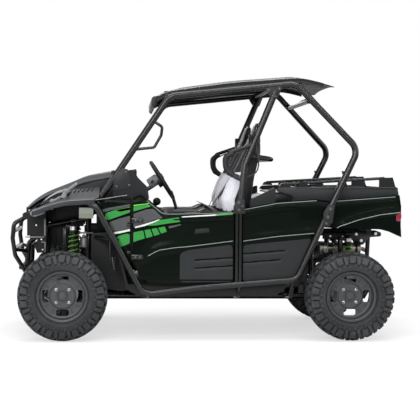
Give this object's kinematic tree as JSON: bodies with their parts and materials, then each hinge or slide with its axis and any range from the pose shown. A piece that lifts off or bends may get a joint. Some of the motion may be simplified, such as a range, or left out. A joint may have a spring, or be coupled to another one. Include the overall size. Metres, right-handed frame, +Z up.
{
  "type": "side-by-side utility vehicle",
  "caption": "Open off-road vehicle with side-by-side seats, half doors, a tubular roll cage, knobby tyres and a tilting cargo bed.",
  "frame": {"origin": "on the ground at the middle of the vehicle's box", "axes": "+X forward, +Y to the vehicle's left, +Z up"},
  "size_m": [2.9997, 1.565, 2.037],
  "materials": {
    "gloss_black": "gloss",
    "charcoal_plastic": "matte grained",
    "black_plastic": "matte grained",
    "frame_black": "satin",
    "tyre": "matte",
    "wheel_grey": "satin painted",
    "cast_grey": "cast",
    "exhaust_steel": "brushed",
    "spring_green": "satin",
    "seat_fabric": "woven",
    "lamp": "clear",
    "tank": "translucent"
  },
  "bodies": {
    "chassis": {"main_frame": "frame_black", "side_tubes": "frame_black", "skid_plate": "black_plastic", "hitch_receiver": "frame_black", "floor_pan": "black_plastic", "cage_sides": "frame_black", "cage_cross_tubes": "frame_black", "roof_panel": "charcoal_plastic", "front_bumper": "frame_black", "front_fascia": "black_plastic", "headlights": "lamp", "radiator": "cast_grey", "front_fenders": "gloss_black", "cowl_panels": "gloss_black", "quarter_panels": "gloss_black", "rear_fenders": "gloss_black", "dashboard": "black_plastic", "steering_column": "frame_black", "seat_base": "black_plastic", "rear_panel": "black_plastic", "driver_seat_cushion": "seat_fabric", "driver_seat_back": "seat_fabric", "passenger_seat_cushion": "seat_fabric", "passenger_seat_back": "seat_fabric", "shoulder_guards": "frame_black", "grab_handles": "frame_black", "gear_lever": "black_plastic", "engine_block": "cast_grey", "muffler": "exhaust_steel", "reservoir_tank": "tank", "front_arms": "frame_black", "rear_arms": "frame_black", "shocks": "spring_green", "rear_hubs": "cast_grey", "drive_line": "cast_grey"},
    "hood": {"hood": "gloss_black"},
    "door_left": {"door_left": "gloss_black"},
    "door_right": {"door_right": "gloss_black"},
    "cargo_bed": {"cargo_bed": "charcoal_plastic", "bed_rails": "frame_black"},
    "tailgate": {"tailgate": "gloss_black"},
    "steering_wheel": {"steering_wheel": "black_plastic"},
    "steering_rack": {"steering_rack": "frame_black"},
    "knuckle_left": {"knuckle_left": "cast_grey"},
    "knuckle_right": {"knuckle_right": "cast_grey"},
    "wheel_front_left": {"tyre_front_left": "tyre", "rim_front_left": "wheel_grey"},
    "wheel_front_right": {"tyre_front_right": "tyre", "rim_front_right": "wheel_grey"},
    "wheel_rear_left": {"tyre_rear_left": "tyre", "rim_rear_left": "wheel_grey"},
    "wheel_rear_right": {"tyre_rear_right": "tyre", "rim_rear_right": "wheel_grey"}
  },
  "joints": [
    {"name": "knuckle_left_steer", "type": "hinge", "parent": "chassis", "child": "knuckle_left", "pos_m": [1.078, 0.505, 0.336], "axis": [0, 0, 1], "range_deg": [-28, 28]},
    {"name": "knuckle_right_steer", "type": "hinge", "parent": "chassis", "child": "knuckle_right", "pos_m": [1.078, -0.505, 0.336], "axis": [0, 0, 1], "range_deg": [-28, 28]},
    {"name": "steering_wheel_turn", "type": "hinge", "parent": "chassis", "child": "steering_wheel", "pos_m": [0.328, 0.34, 1.207], "axis": [-0.8443, 0, 0.5358], "range_deg": [-273, 273]},
    {"name": "rack_slide", "type": "slide", "parent": "chassis", "child": "steering_rack", "axis": [0, 1, 0], "range_m": [-0.052, 0.052]},
    {"name": "wheel_front_left_spin", "type": "hinge", "parent": "knuckle_left", "child": "wheel_front_left", "pos_m": [1.078, 0.668, 0.336], "axis": [0, 1, 0], "continuous": true},
    {"name": "wheel_front_right_spin", "type": "hinge", "parent": "knuckle_right", "child": "wheel_front_right", "pos_m": [1.078, -0.668, 0.336], "axis": [0, 1, 0], "continuous": true},
    {"name": "wheel_rear_left_spin", "type": "hinge", "parent": "chassis", "child": "wheel_rear_left", "pos_m": [-1.102, 0.643, 0.336], "axis": [0, 1, 0], "continuous": true},
    {"name": "wheel_rear_right_spin", "type": "hinge", "parent": "chassis", "child": "wheel_rear_right", "pos_m": [-1.102, -0.643, 0.336], "axis": [0, 1, 0], "continuous": true},
    {"name": "door_left_hinge", "type": "hinge", "parent": "chassis", "child": "door_left", "pos_m": [0.568, 0.676, 0.7675], "axis": [0, 0, -1], "range_deg": [0, 70]},
    {"name": "door_right_hinge", "type": "hinge", "parent": "chassis", "child": "door_right", "pos_m": [0.568, -0.676, 0.7675], "axis": [0, 0, 1], "range_deg": [0, 70]},
    {"name": "hood_hinge", "type": "hinge", "parent": "chassis", "child": "hood", "pos_m": [1.38, 0, 0.974], "axis": [0, 1, 0], "range_deg": [0, 60]},
    {"name": "cargo_bed_tilt", "type": "hinge", "parent": "chassis", "child": "cargo_bed", "pos_m": [-1.33, 0, 0.8], "axis": [0, -1, 0], "range_deg": [0, 40]},
    {"name": "tailgate_hinge", "type": "hinge", "parent": "cargo_bed", "child": "tailgate", "pos_m": [-1.475, 0, 0.905], "axis": [0, -1, 0], "range_deg": [0, 90]}
  ],
  "couplings": [
    {"joint": "knuckle_right_steer", "follows": "knuckle_left_steer", "ratio": 1},
    {"joint": "steering_wheel_turn", "follows": "knuckle_left_steer", "ratio": 9.64},
    {"joint": "rack_slide", "follows": "knuckle_left_steer", "m_per_rad": -0.105}
  ]
}
